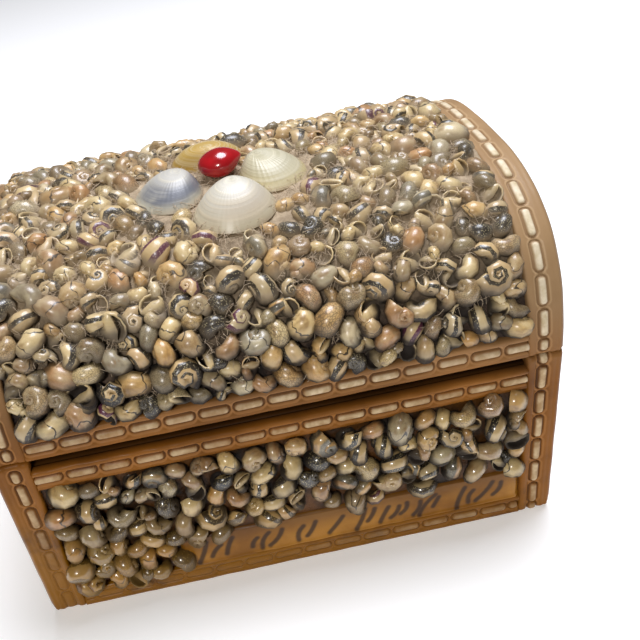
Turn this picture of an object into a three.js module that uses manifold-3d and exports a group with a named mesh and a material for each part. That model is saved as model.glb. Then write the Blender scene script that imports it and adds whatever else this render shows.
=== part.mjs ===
// A small treasure-chest box of caramel leather-look plastic, covered with little snail shells,
// with a flower of four clam valves and a red seed on its vaulted lid.
// Millimetres, +Z up, the front faces -Y, the origin is under the middle of the underside.
import * as THREE from 'three';
import { mergeVertices } from 'three/addons/utils/BufferGeometryUtils.js';
import Module from 'manifold-3d';

const wasm = await Module();
wasm.setup();

// overall size
const boxLength = 115;
const boxDepth = 83;
const seamHeight = 45.3;          // where the posts of the base meet the lid
const seamGap = 0.3;
const springHeight = 38.6;        // where the sides begin to lean in
const vaultRise = 39;
const vaultExponent = 2.83;       // a superellipse: flatter on top and rounder at the shoulder than an ellipse
const vaultSegments = 30;

// walls
const wall = 2.2;
const endWall = 2.4;
const floorThickness = 2.4;
const footRadius = 3;
const postEdgeRadius = 1.2;
const fingerGap = 2.7;            // the slot under the lid's long rails
const lipDepth = 5;
const lipThickness = 1.4;
const lipClearance = 0.3;

// the moulded frames: ridge, stitched groove, bead, then the recessed panel
const panelRecess = 1.5;
const grooveDepth = 0.6;
const postRidge = 2.7;
const postGroove = 3;
const postBead = 1.7;
const postWidth = postRidge + postGroove + postBead;
const railBead = 1.25;
const railGroove = 2.7;
const railWidth = railGroove + 2 * railBead;
const footRailBead = 1.4;

// the whip stitches
const stitchPitch = 6.8;
const stitchLength = 5.7;
const stitchWidth = 2;
const stitchProud = 0.35;
const stitchTaper = 0.35;
const shortStitch = 2.6;
const stitchRoot = 1;             // how far a stitch reaches into the moulding under it
const rightPostFirst = 39.5;      // height of the uppermost stitch of each post
const leftPostFirst = 36.9;
const lidStitchShift = 0.8;
const archFirst = 7.3;            // along the vault from the seam

// the shell crusts
const crustGap = 0.3;
const crustBed = 1.7;            // the valleys between the shells
const cellPitch = 6;
const rowSpacing = cellPitch * Math.sqrt(3) / 2;
const shellHeight = 3;
const crownShare = 0.6;
const crustMargin = 0.4;
const bareStripHeight = 8;        // varnish without shells along the foot of the front panel
const bareStripStart = -22;

// the flower
const valves = [
  { name: 'front_clam', centre: [-0.9, -16.4], width: 17, reach: 14, turn: 0.08, color: 0xe3dcc4 },
  { name: 'left_clam', centre: [-12.7, -5.6], width: 15.4, reach: 12.6, turn: -1.42, color: 0xc4c6c2 },
  { name: 'right_clam', centre: [10.8, -4.2], width: 15.6, reach: 12.6, turn: 1.7, color: 0xe6d9ae },
  { name: 'back_clam', centre: [-1.2, 8.7], width: 15.6, reach: 11.6, turn: Math.PI, color: 0xdcc07c },
];
const valveHeight = 4.4;
const valveGap = 0.4;
const flowerMargin = 2.6;         // bare glue between the valves and the middles of the nearest shells
const seedCentre = [-0.9, -1.3];
const seedSize = [9.2, 6.6, 4.8];

const halfLength = boxLength / 2;
const halfDepth = boxDepth / 2;
const panelEnd = halfLength - postWidth;
const baseRailTop = seamHeight - fingerGap;
const panelTop = baseRailTop - railWidth;
const panelBottom = footRailBead + railGroove + railBead;
const cavityY = halfDepth - panelRecess - wall;
const cavityX = halfLength - endWall;

const plastic = { color: 0xb07a4c, roughness: 0.5, metalness: 0 };
const shellCream = { color: 0xb9a888, roughness: 0.25, metalness: 0 };

// ---- solids and their joins ----

function solidFrom(geometry) {
  const bare = geometry.index ? geometry.toNonIndexed() : geometry.clone();
  bare.deleteAttribute('normal');
  bare.deleteAttribute('uv');
  const merged = mergeVertices(bare, 1e-5);
  return new wasm.Manifold(new wasm.Mesh({
    numProp: 3,
    vertProperties: new Float32Array(merged.attributes.position.array),
    triVerts: new Uint32Array(merged.index.array),
  }));
}

function geometryFrom(solid) {
  const mesh = solid.getMesh();
  const geometry = new THREE.BufferGeometry();
  geometry.setAttribute('position', new THREE.BufferAttribute(new Float32Array(mesh.vertProperties), 3));
  geometry.setIndex(new THREE.BufferAttribute(new Uint32Array(mesh.triVerts), 1));
  return geometry;
}

function joined(solids) {
  return solids.reduce((sum, solid) => sum.add(solid));
}

function block(x0, x1, y0, y1, z0, z1) {
  const geometry = new THREE.BoxGeometry(x1 - x0, y1 - y0, z1 - z0);
  geometry.translate((x0 + x1) / 2, (y0 + y1) / 2, (z0 + z1) / 2);
  return solidFrom(geometry);
}

// ---- the vault's curve, in the plane across the box ----

// the outer curve at a turn of 0 (front) to PI (back)
function vaultPoint(turn) {
  const power = 2 / vaultExponent;
  const across = Math.sign(Math.cos(turn)) * Math.abs(Math.cos(turn)) ** power;
  return new THREE.Vector2(-halfDepth * across, springHeight + vaultRise * Math.sin(turn) ** power);
}

// the curve as a table of places, outward normals and arc lengths measured from the front seam
function vaultCurve() {
  const steps = 720;
  const rows = [];
  for (let i = 0; i <= steps; i += 1) {
    const place = vaultPoint(Math.PI * i / steps);
    if (place.y < seamHeight) continue;
    const last = rows[rows.length - 1];
    rows.push({ place, arc: last ? last.arc + place.distanceTo(last.place) : 0 });
  }
  rows.forEach((row, i) => {
    const before = rows[Math.max(i - 1, 0)].place;
    const after = rows[Math.min(i + 1, rows.length - 1)].place;
    const along = after.clone().sub(before).normalize();
    row.normal = new THREE.Vector2(-along.y, along.x);
  });
  return rows;
}

const curve = vaultCurve();
const vaultArc = curve[curve.length - 1].arc;

// the place and outward normal at an arc length, between the seams
function vaultAt(arc) {
  const wanted = Math.min(Math.max(arc, 0), vaultArc);
  let i = 1;
  while (i < curve.length - 1 && curve[i].arc < wanted) i += 1;
  const [a, b] = [curve[i - 1], curve[i]];
  const part = (wanted - a.arc) / (b.arc - a.arc);
  return {
    place: a.place.clone().lerp(b.place, part),
    normal: a.normal.clone().lerp(b.normal, part).normalize(),
  };
}

// a prism under the vault, from x0 to x1, its top the outer curve moved out by offset
function vaultPrism(x0, x1, offset, bottom = seamHeight) {
  const points = [];
  for (let i = 0; i <= vaultSegments; i += 1) {
    const { place, normal } = vaultAt(vaultArc * i / vaultSegments);
    points.push(place.addScaledVector(normal, offset));
  }
  const outline = [new THREE.Vector2(points[0].x, bottom), ...points];
  outline.push(new THREE.Vector2(points[points.length - 1].x, bottom));
  const first = outline[1];
  const last = outline[outline.length - 2];
  if (first.y <= bottom + 1e-3) outline.splice(1, 1);
  if (last.y <= bottom + 1e-3) outline.splice(outline.length - 2, 1);
  const geometry = new THREE.ExtrudeGeometry(new THREE.Shape(outline), { depth: x1 - x0, bevelEnabled: false });
  // the outline's (y, z) plane, extruded along x
  geometry.applyMatrix4(new THREE.Matrix4().makeBasis(
    new THREE.Vector3(0, 1, 0), new THREE.Vector3(0, 0, 1), new THREE.Vector3(1, 0, 0)));
  geometry.translate(x0, 0, 0);
  return solidFrom(geometry);
}

// ---- stitches ----

// one stitch pad: a rounded-off oblong that stands up from its root
function stitchPad(length, frame) {
  const geometry = new THREE.BoxGeometry(length, stitchWidth, stitchRoot + stitchProud);
  const position = geometry.attributes.position;
  for (let i = 0; i < position.count; i += 1) {
    if (position.getZ(i) < 0) continue;
    position.setX(i, position.getX(i) - Math.sign(position.getX(i)) * stitchTaper * 1.6);
    position.setY(i, position.getY(i) - Math.sign(position.getY(i)) * stitchTaper);
  }
  geometry.translate(0, 0, (stitchProud - stitchRoot) / 2);
  geometry.applyMatrix4(frame);
  return solidFrom(geometry);
}

// a frame whose x runs along the stitch and whose z is the outward normal
function stitchFrame(place, along, outward) {
  const side = outward.clone().cross(along);
  return new THREE.Matrix4().makeBasis(along, side, outward).setPosition(place);
}

function faceStitches(height, places, length, face) {
  const along = new THREE.Vector3(-face, 0, 0);
  const outward = new THREE.Vector3(0, face, 0);
  return places.map((x) => stitchPad(length,
    stitchFrame(new THREE.Vector3(-face * x, face * halfDepth, height), along, outward)));
}

function postStitches(x, first, face) {
  const along = new THREE.Vector3(0, 0, 1);
  const outward = new THREE.Vector3(0, face, 0);
  const pads = [];
  const pad = (z, length) => pads.push(stitchPad(length,
    stitchFrame(new THREE.Vector3(-face * x, face * halfDepth, z), along, outward)));
  let z = first;
  for (; z > stitchLength / 2 + 0.5; z -= stitchPitch) pad(z, stitchLength);
  const room = z + stitchPitch - stitchPitch / 2 - 1;
  if (room > shortStitch) pad(room / 2 + 0.4, shortStitch);
  if (seamHeight - first - stitchPitch / 2 > shortStitch) pad(first + stitchPitch * 0.75, shortStitch);
  return pads;
}

function archStitches(x) {
  const pads = [];
  const pad = (arc, length) => {
    const { place, normal } = vaultAt(arc);
    const outward = new THREE.Vector3(0, normal.x, normal.y);
    const along = outward.clone().cross(new THREE.Vector3(1, 0, 0));
    pads.push(stitchPad(length, stitchFrame(new THREE.Vector3(x, place.x, place.y), along, outward)));
  };
  pad(archFirst - stitchPitch * 0.72, shortStitch);
  for (let arc = archFirst; arc < vaultArc - stitchLength / 2; arc += stitchPitch) pad(arc, stitchLength);
  return pads;
}

function evenRow(count, shift = 0) {
  return Array.from({ length: count }, (_, i) => (i - (count - 1) / 2) * stitchPitch + shift);
}

// ---- the moulded base and lid ----

function baseBlock() {
  const height = seamHeight - seamGap / 2;
  const front = new THREE.Shape();
  front.moveTo(-halfLength, height);
  front.lineTo(-halfLength, footRadius);
  front.absarc(-halfLength + footRadius, footRadius, footRadius, Math.PI, 1.5 * Math.PI, false);
  front.absarc(halfLength - footRadius, footRadius, footRadius, 1.5 * Math.PI, 2 * Math.PI, false);
  front.lineTo(halfLength, height);
  const standing = new THREE.ExtrudeGeometry(front, { depth: boxDepth, bevelEnabled: false, curveSegments: 3 });
  standing.rotateX(Math.PI / 2);
  standing.translate(0, halfDepth, 0);
  const radius = postEdgeRadius;
  const plan = new THREE.Shape();
  const corners = [[1, 1, 0], [-1, 1, 0.5], [-1, -1, 1], [1, -1, 1.5]];
  corners.forEach(([sx, sy, start]) => plan.absarc(sx * (halfLength - radius), sy * (halfDepth - radius),
    radius, start * Math.PI, (start + 0.5) * Math.PI, false));
  const plate = new THREE.ExtrudeGeometry(plan, { depth: height + 1, bevelEnabled: false, curveSegments: 2 });
  plate.translate(0, 0, -0.5);
  return solidFrom(standing).intersect(solidFrom(plate));
}

function makeBase() {
  let base = baseBlock();
  const cuts = [block(-cavityX, cavityX, -cavityY, cavityY, floorThickness, seamHeight + 1)];
  const deep = halfDepth + 1;
  for (const face of [-1, 1]) {
    const slab = (x0, x1, depth, z0, z1) => {
      const [y0, y1] = [face * (halfDepth - depth), face * deep].sort((a, b) => a - b);
      cuts.push(block(x0, x1, y0, y1, z0, z1));
    };
    slab(-panelEnd, panelEnd, panelRecess, panelBottom, panelTop);
    slab(-panelEnd, panelEnd, halfDepth - cavityY + 1, baseRailTop, seamHeight + 1);
    slab(-panelEnd, panelEnd, grooveDepth, panelTop + railBead, panelTop + railBead + railGroove);
    slab(-panelEnd, panelEnd, grooveDepth, footRailBead, footRailBead + railGroove);
    for (const side of [-1, 1]) {
      const [x0, x1] = [side * (halfLength - postRidge), side * (panelEnd + postBead)].sort((a, b) => a - b);
      slab(x0, x1, grooveDepth, 0.8, seamHeight + 1);
    }
  }
  for (const side of [-1, 1]) {
    const [x0, x1] = [side * (halfLength - 0.7), side * (halfLength + 1)].sort((a, b) => a - b);
    cuts.push(block(x0, x1, -halfDepth + postWidth, halfDepth - postWidth, panelBottom, panelTop + railBead));
  }
  base = base.subtract(joined(cuts));
  const column = panelEnd + postBead + postGroove / 2;
  const railMiddle = panelTop + railWidth / 2;
  const footMiddle = footRailBead + railGroove / 2;
  const footEnd = evenRow(14)[13] + stitchPitch * 0.7;
  const pads = [-1, 1].flatMap((face) => [
    ...faceStitches(railMiddle, evenRow(15), stitchLength, face),
    ...faceStitches(footMiddle, evenRow(14), stitchLength, face),
    ...faceStitches(footMiddle, [-footEnd, footEnd], shortStitch, face),
    ...postStitches(column, rightPostFirst, face),
    ...postStitches(-column, leftPostFirst, face),
  ]);
  return base.add(joined(pads));
}

function makeLid() {
  const bottom = seamHeight + seamGap / 2;
  const outside = halfDepth + 1;
  const strip = (z0, z1, offset) => vaultPrism(-panelEnd - 0.1, panelEnd + 0.1, offset)
    .intersect(block(-halfLength, halfLength, -outside, outside, z0, z1));
  const solids = [
    vaultPrism(-halfLength + 0.5, halfLength - 0.5, -panelRecess),
    strip(bottom, bottom + railBead, 0),
    strip(bottom + railBead - 0.01, bottom + railBead + railGroove + 0.01, -grooveDepth),
    strip(bottom + railBead + railGroove, bottom + railWidth, 0),
  ];
  for (const side of [-1, 1]) {
    const slab = (a, b, offset) => {
      const [x0, x1] = [side * a, side * b].sort((p, q) => p - q);
      solids.push(vaultPrism(x0, x1, offset));
    };
    slab(panelEnd, panelEnd + postBead, 0);
    slab(panelEnd + postBead - 0.01, panelEnd + postBead + postGroove + 0.01, -grooveDepth);
    slab(halfLength - postRidge, halfLength, 0);
  }
  const hollow = vaultPrism(-cavityX, cavityX, -panelRecess - wall, seamHeight - 1);
  const cuts = [hollow, block(-halfLength - 1, halfLength + 1, -outside, outside, 0, bottom)];
  const lunette = vaultPrism(0, 1.7, -postWidth)
    .intersect(block(0, 2, -outside, outside, bottom + railWidth, 200));
  for (const side of [-1, 1]) cuts.push(lunette.translate([side > 0 ? halfLength - 0.7 : -halfLength - 1, 0, 0]));
  const lid = joined(solids).subtract(joined(cuts));

  const lipX = cavityX - lipClearance;
  const lipY = cavityY - lipClearance;
  const lip = block(-lipX, lipX, -lipY, lipY, seamHeight - lipDepth, bottom + 0.5)
    .add(block(-lipX - 0.8, lipX + 0.8, -lipY - 0.8, lipY + 0.8, bottom, bottom + lipThickness))
    .subtract(block(-lipX + lipThickness, lipX - lipThickness, -lipY + lipThickness, lipY - lipThickness,
      seamHeight - lipDepth - 1, bottom + lipThickness + 1));

  const column = panelEnd + postBead + postGroove / 2;
  const railMiddle = bottom + railWidth / 2;
  const pads = [-1, 1].flatMap((face) => [
    ...faceStitches(railMiddle, evenRow(15, lidStitchShift), stitchLength, face),
    ...archStitches(face * column),
  ]);
  return lid.add(lip).add(joined(pads));
}

// ---- the crusts of little shells ----

// numbers between 0 and 1 that come out the same in every run
function numberSource(seed) {
  let state = seed;
  return () => {
    state = (Math.imul(state, 1664525) + 1013904223) >>> 0;
    return state / 4294967296;
  };
}

// A jittered honeycomb over width x height. walls[row] are the upright walls of one row of cells.
function honeycomb(width, height, seed) {
  const random = numberSource(seed);
  const columns = Math.round(width / cellPitch);
  const rows = Math.round(height / rowSpacing);
  const pitch = width / columns;
  const rise = height / rows;
  const wallPlaces = (row) => {
    const inner = row % 2 ? Array.from({ length: columns }, (_, i) => (i + 0.5) * pitch)
      : Array.from({ length: columns - 1 }, (_, i) => (i + 1) * pitch);
    return inner;
  };
  const corner = (u, v, free) => ({
    u: u - width / 2 + (free ? (random() - 0.5) * 0.42 * pitch : 0),
    v: v + (free ? (random() - 0.5) * 0.42 * rise : 0),
  });
  // the chain of corners under each row, from the left edge to the right
  const chains = [];
  for (let row = 0; row <= rows; row += 1) {
    const free = row > 0 && row < rows;
    const below = row > 0 ? wallPlaces(row - 1).map((u) => ({ u, up: false })) : [];
    const above = row < rows ? wallPlaces(row).map((u) => ({ u, up: true })) : [];
    const chain = [...below, ...above].sort((a, b) => a.u - b.u).map(({ u, up }) => (
      { ...corner(u, row * rise + (free ? (up ? 1 : -1) * rise / 6 : 0), free), up }));
    chains.push([{ ...corner(0, row * rise, false), edge: true }, ...chain,
      { ...corner(width, row * rise, false), edge: true }]);
  }
  const cells = [];
  for (let row = 0; row < rows; row += 1) {
    const lower = chains[row];
    const upper = chains[row + 1];
    const lowerStops = lower.map((c, i) => i).filter((i) => lower[i].edge || lower[i].up);
    const upperStops = upper.map((c, i) => i).filter((i) => upper[i].edge || upper[i].up === false);
    for (let k = 0; k + 1 < lowerStops.length; k += 1) {
      const ring = lower.slice(lowerStops[k], lowerStops[k + 1] + 1)
        .concat(upper.slice(upperStops[k], upperStops[k + 1] + 1).reverse());
      cells.push({ ring, row, size: random() });
    }
  }
  return { chains, cells, rows };
}

// A crust: a bumpy sheet of domes, one to a cell, closed below by a smooth sheet.
// place(u, v, h) maps the flat layout to space; swell(u, v) is 0 where the crust lies flat.
function makeCrust({ width, height, seed, place, swell, isPlain }) {
  const { chains, cells } = honeycomb(width, height, seed);
  const positions = [];
  const triangles = [];
  const vertex = (u, v, h) => {
    positions.push(...place(u, v, h).toArray());
    return positions.length / 3 - 1;
  };
  for (const chain of chains) {
    for (const corner of chain) corner.top = vertex(corner.u, corner.v, crustBed);
  }
  for (const { ring, size } of cells) {
    const u = ring.reduce((sum, c) => sum + c.u, 0) / ring.length;
    const v = ring.reduce((sum, c) => sum + c.v, 0) / ring.length;
    const full = swell(u, v);
    const top = crustBed + full * shellHeight * (0.55 + 0.45 * size);
    const outer = ring.map((c) => c.top);
    const count = outer.length;
    if (full === 0 || isPlain(u, v) || count < 4) {
      const peak = vertex(u, v, top);
      for (let i = 0; i < count; i += 1) triangles.push(outer[i], outer[(i + 1) % count], peak);
      continue;
    }
    // a four-cornered crown, each corner part of the way to the ring
    const crown = [0, 1, 2, 3].map((k) => {
      const at = (k + 0.5) * count / 4;
      const from = ring[Math.floor(at) % count];
      const to = ring[Math.ceil(at) % count];
      const share = at - Math.floor(at);
      const cu = from.u + (to.u - from.u) * share;
      const cv = from.v + (to.v - from.v) * share;
      return vertex(u + (cu - u) * crownShare, v + (cv - v) * crownShare, top);
    });
    triangles.push(crown[0], crown[1], crown[2], crown[0], crown[2], crown[3]);
    let k = 0;
    for (let i = 0; i < count; i += 1) {
      while (k < 3 && (k + 1) * count / 4 <= i) {
        triangles.push(outer[i], crown[k + 1], crown[k]);
        k += 1;
      }
      triangles.push(outer[i], outer[(i + 1) % count], crown[k]);
    }
    triangles.push(outer[0], crown[0], crown[3]);
  }
  // the smooth underside: strips between the two ends, closed by the front and back edges
  const under = chains.map((chain, row) => {
    const whole = row === 0 || row === chains.length - 1;
    return (whole ? chain : [chain[0], chain[chain.length - 1]])
      .map((c) => ({ ...c, bottom: vertex(c.u, c.v, crustGap) }));
  });
  const strip = (a, b) => {
    const [left, right] = [a.slice(), b.slice()];
    for (let i = 0; i + 1 < right.length; i += 1) triangles.push(right[i].bottom, right[i + 1].bottom, left[0].bottom);
    const corner = right[right.length - 1].bottom;
    for (let i = 0; i + 1 < left.length; i += 1) triangles.push(corner, left[i + 1].bottom, left[i].bottom);
  };
  for (let row = 0; row + 1 < under.length; row += 1) strip(under[row], under[row + 1]);
  const side = (a, b) => triangles.push(a.bottom, b.bottom, b.top, a.bottom, b.top, a.top);
  const first = under[0];
  const last = under[under.length - 1];
  for (let i = 0; i + 1 < first.length; i += 1) side(first[i], first[i + 1]);
  for (let i = 0; i + 1 < last.length; i += 1) side(last[i + 1], last[i]);
  for (let row = 0; row + 1 < under.length; row += 1) {
    side(under[row][under[row].length - 1], under[row + 1][under[row + 1].length - 1]);
    side(under[row + 1][0], under[row][0]);
  }
  const geometry = new THREE.BufferGeometry();
  geometry.setAttribute('position', new THREE.Float32BufferAttribute(positions, 3));
  geometry.setIndex(triangles);
  return geometry;
}

const crustWidth = 2 * (panelEnd - crustMargin);
const panelHeight = panelTop - panelBottom - 2 * crustMargin;

function panelCrust(face) {
  const isFront = face < 0;
  return makeCrust({
    width: crustWidth,
    height: panelHeight,
    seed: isFront ? 11 : 23,
    place: (u, v, h) => new THREE.Vector3(-face * u, face * (halfDepth - panelRecess + h),
      panelBottom + crustMargin + v),
    swell: (u, v) => (isFront && v < bareStripHeight && u > bareStripStart ? 0 : 1),
    isPlain: () => !isFront,
  });
}

const lidRailArc = railWidth + seamGap / 2 + crustMargin;

function inFlower(x, y) {
  return Math.hypot(x - seedCentre[0], y - seedCentre[1]) < seedSize[0]
    || valves.some(({ centre, width }) => Math.hypot(x - centre[0], y - centre[1]) < width / 2 + flowerMargin);
}

function lidCrust() {
  const place = (u, v, h) => {
    const { place: at, normal } = vaultAt(lidRailArc + v);
    at.addScaledVector(normal, h - panelRecess);
    return new THREE.Vector3(u, at.x, at.y);
  };
  return makeCrust({
    width: crustWidth,
    height: vaultArc - 2 * lidRailArc,
    seed: 5,
    place,
    swell: (u, v) => (inFlower(u, place(u, v, 0).y) ? 0 : 1),
    isPlain: (u, v) => place(u, v, 0).y > halfDepth * 0.45,
  });
}

// ---- the flower ----

// The frame of the vault's skin over a point given in plan
function skinFrame(x, y, lift) {
  let arc = 0;
  while (vaultAt(arc).place.x < y) arc += 0.1;
  const { place, normal } = vaultAt(arc);
  place.addScaledVector(normal, crustBed - panelRecess + crustGap + lift);
  const outward = new THREE.Vector3(0, normal.x, normal.y);
  const right = new THREE.Vector3(1, 0, 0);
  return new THREE.Matrix4().makeBasis(right, outward.clone().cross(right), outward)
    .setPosition(x, place.x, place.y);
}

// A clam valve lying on its rim: an oval dome whose beak is drawn towards the flower's middle
function makeValve({ centre, width, reach, turn }) {
  const around = 16;
  const levels = [[1, 0], [0.97, 0.28], [0.8, 0.66], [0.5, 0.9]];
  const positions = [];
  const triangles = [];
  const beak = reach * 0.16;
  levels.forEach(([spread, rise]) => {
    for (let i = 0; i < around; i += 1) {
      const angle = 2 * Math.PI * i / around;
      const pinch = 1 - 0.14 * Math.max(0, Math.sin(angle));
      positions.push(spread * pinch * width / 2 * Math.cos(angle),
        spread * reach / 2 * Math.sin(angle) + beak * rise, valveHeight * rise);
    }
  });
  positions.push(0, beak * 1.3, valveHeight, 0, 0, 0);
  const peak = positions.length / 3 - 2;
  for (let i = 0; i < around; i += 1) {
    const next = (i + 1) % around;
    for (let level = 0; level + 1 < levels.length; level += 1) {
      const [a, b] = [level * around, (level + 1) * around];
      triangles.push(a + i, a + next, b + next, a + i, b + next, b + i);
    }
    const ring = (levels.length - 1) * around;
    triangles.push(ring + i, ring + next, peak, next, i, peak + 1);
  }
  const geometry = new THREE.BufferGeometry();
  geometry.setAttribute('position', new THREE.Float32BufferAttribute(positions, 3));
  geometry.setIndex(triangles);
  geometry.rotateZ(turn);
  return geometry.applyMatrix4(skinFrame(centre[0], centre[1], valveGap));
}

function makeSeed() {
  const geometry = new THREE.SphereGeometry(0.5, 12, 8);
  geometry.scale(...seedSize);
  geometry.rotateY(-0.2);
  return geometry.applyMatrix4(skinFrame(...seedCentre, seedSize[2] / 2 + 0.5));
}

// ---- the object ----

const group = new THREE.Group();

function addNode(name, geometry, look) {
  const mesh = new THREE.Mesh(geometry, new THREE.MeshStandardMaterial(look));
  mesh.name = name;
  group.add(mesh);
}

addNode('chest_base', geometryFrom(makeBase()), plastic);
addNode('vaulted_lid', geometryFrom(makeLid()), plastic);
addNode('front_snail_shells', panelCrust(-1), shellCream);
addNode('back_snail_shells', panelCrust(1), shellCream);
addNode('lid_snail_shells', lidCrust(), shellCream);

for (const { name, color, ...valve } of valves) {
  addNode(name, makeValve(valve), { color, roughness: 0.3, metalness: 0 });
}
addNode('red_seed', makeSeed(), { color: 0xb01820, roughness: 0.15, metalness: 0 });

export default group;
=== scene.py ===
import bisect
import math
import random
import bpy
import bmesh
from mathutils import Matrix, Vector, noise


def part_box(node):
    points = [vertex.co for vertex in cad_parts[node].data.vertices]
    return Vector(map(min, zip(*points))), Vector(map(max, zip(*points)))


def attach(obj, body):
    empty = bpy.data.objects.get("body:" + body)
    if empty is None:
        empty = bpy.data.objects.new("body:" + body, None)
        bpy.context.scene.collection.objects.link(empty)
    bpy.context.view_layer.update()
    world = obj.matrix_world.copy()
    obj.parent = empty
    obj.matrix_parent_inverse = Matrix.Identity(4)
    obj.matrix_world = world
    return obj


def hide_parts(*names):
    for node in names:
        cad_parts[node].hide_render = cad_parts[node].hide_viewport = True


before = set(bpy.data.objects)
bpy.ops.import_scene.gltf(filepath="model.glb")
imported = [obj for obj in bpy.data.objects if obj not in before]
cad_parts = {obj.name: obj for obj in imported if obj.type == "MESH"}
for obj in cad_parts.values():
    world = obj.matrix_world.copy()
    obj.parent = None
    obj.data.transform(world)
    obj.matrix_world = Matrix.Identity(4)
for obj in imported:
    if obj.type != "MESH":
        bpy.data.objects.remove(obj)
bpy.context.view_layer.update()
mm = 0.001
scene = bpy.context.scene
print("frame loaded")

# sizes shared by the pieces, in millimetres
box = {
    "halfLength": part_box("chest_base")[1].x / mm,
    "halfDepth": 41.5,
    "seam": 45.3,
    "seamGap": 0.15,
    "spring": 38.6,
    "rise": 39.0,
    "exponent": 2.83,
    "wall": 2.2,
    "endWall": 2.4,
    "fingerGap": 2.7,
    "recess": 1.5,
    "post": 7.4,
    "rail": 5.2,
    "railPads": 15,
    "footRail": 5.35,
    "footRadius": 3.0,
}
panelEnd = box["halfLength"] - box["post"]
railTop = box["seam"] - box["fingerGap"]
panelTop = railTop - box["rail"]
panelBottom = box["footRail"]
panelFace = box["halfDepth"] - box["recess"]


def tone(code):  # a screen colour such as "b07a4c" as linear light
    parts = [int(code[i:i + 2], 16) / 255 for i in (0, 2, 4)]
    linear = [c / 12.92 if c <= 0.04045 else ((c + 0.055) / 1.055) ** 2.4 for c in parts]
    return (*linear, 1.0)


def ease(value, low, high):
    share = min(max((value - low) / (high - low), 0.0), 1.0)
    return share * share * (3 - 2 * share)


def wobble(x, y, z, size):  # smooth noise about 0, features about size across
    return noise.noise(Vector((x, y, z)) / size)


class Wire:
    def __init__(self, paint, socket):
        self.paint, self.socket = paint, socket

    def maths(self, operation, first, second):
        return self.paint.node("Math", {"operation": operation}, {0: first, 1: second})

    def __add__(self, other):
        return self.maths("ADD", self, other)

    def __sub__(self, other):
        return self.maths("SUBTRACT", self, other)

    def __rsub__(self, other):
        return self.maths("SUBTRACT", other, self)

    def __mul__(self, other):
        return self.maths("MULTIPLY", self, other)

    __radd__ = __add__
    __rmul__ = __mul__


class Paint:
    def __init__(self, name):
        self.material = bpy.data.materials.new(name)
        self.material.use_nodes = True
        self.tree = self.material.node_tree
        self.shader = self.tree.nodes["Principled BSDF"]

    def plug(self, socket, value):
        if isinstance(value, Wire):
            self.tree.links.new(value.socket, socket)
        else:
            socket.default_value = tone(value) if isinstance(value, str) else value

    def node(self, kind, settings=None, sockets=None, out=0):
        made = self.tree.nodes.new("ShaderNode" + kind)
        for key, value in (settings or {}).items():
            if key == "stops":
                stops = made.color_ramp.elements
                while len(stops) < len(value):
                    stops.new(0.5)
                for stop, (place, colour) in zip(stops, value):
                    stop.position, stop.color = place, tone(colour)
            else:
                setattr(made, key, value)
        for key, value in (sockets or {}).items():
            self.plug(made.inputs[key], value)
        return Wire(self, made.outputs[out])

    def attribute(self, name, out="Fac"):
        return self.node("Attribute", {"attribute_name": name}, out=out)

    def channel(self, name, number):
        return self.node("SeparateColor", None, {0: self.attribute(name, "Color")}, number)

    def place(self):
        return self.node("TexCoord", out="Object")

    def axis(self, letter):
        return self.node("SeparateXYZ", None, {0: self.place()}, letter)

    def join(self, x, y, z):
        return self.node("CombineXYZ", None, {0: x, 1: y, 2: z})

    def zigzag(self, value):  # up and down between 0 and a half
        return self.node("Math", {"operation": "PINGPONG"}, {0: value, 1: 0.5})

    def sine(self, value):
        return self.node("Math", {"operation": "SINE"}, {0: value})

    def noise(self, scale, detail=3.0, roughness=0.55, vector=None):
        return self.node("TexNoise", None, {"Vector": vector or self.place(), "Scale": scale,
                                            "Detail": detail, "Roughness": roughness})

    def ease(self, value, low, high):
        return self.node("MapRange", {"interpolation_type": "SMOOTHSTEP"},
                         {"Value": value, "From Min": low, "From Max": high})

    def mix(self, share, first, second, blend="MIX"):
        return self.node("Mix", {"data_type": "RGBA", "blend_type": blend},
                         {0: share, 6: first, 7: second}, out=2)

    def bump(self, height, distance, strength):
        return self.node("Bump", None, {"Height": height, "Distance": distance, "Strength": strength})

    def finish(self, **sockets):
        for name, value in sockets.items():
            self.plug(self.shader.inputs[name.replace("_", " ")], value)
        return self.material


def newLayers(bm, *names):
    for name in names:
        bm.verts.layers.float.new(name)
    return [bm.verts.layers.float[name] for name in names]


def onlyVerts(items):
    return [item for item in items if isinstance(item, bmesh.types.BMVert)]


def gridVerts(bm, columns, rows):  # a grid of side 1 about the origin
    return bmesh.ops.create_grid(bm, x_segments=columns, y_segments=rows, size=0.5)["verts"]


def growRing(bm, edges, places=None):  # one more ring of faces
    made = bmesh.ops.extrude_edge_only(bm, edges=edges)["geom"]
    verts = onlyVerts(made)
    chosen = set(verts)
    outer = [item for item in made if isinstance(item, bmesh.types.BMEdge)
             and item.verts[0] in chosen and item.verts[1] in chosen]
    for vert, place in zip(verts, places or []):
        vert.co = place
    return verts, outer


def linkRing(bm, verts):
    return [bm.edges.new((vert, verts[(i + 1) % len(verts)])) for i, vert in enumerate(verts)]


def putInScene(name, mesh, material):
    mesh.materials.append(material)
    piece = bpy.data.objects.new(name, mesh)
    scene.collection.objects.link(piece)
    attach(piece, "root")
    return piece


def makePiece(name, bm, material):  # a mesh in millimetres becomes a smooth piece in metres
    mesh = bpy.data.meshes.new(name)
    bmesh.ops.transform(bm, matrix=Matrix.Scale(mm, 4), verts=bm.verts)
    for face in bm.faces:
        face.smooth = True
    bm.to_mesh(mesh)
    bm.free()
    return putInScene(name, mesh, material)


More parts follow.
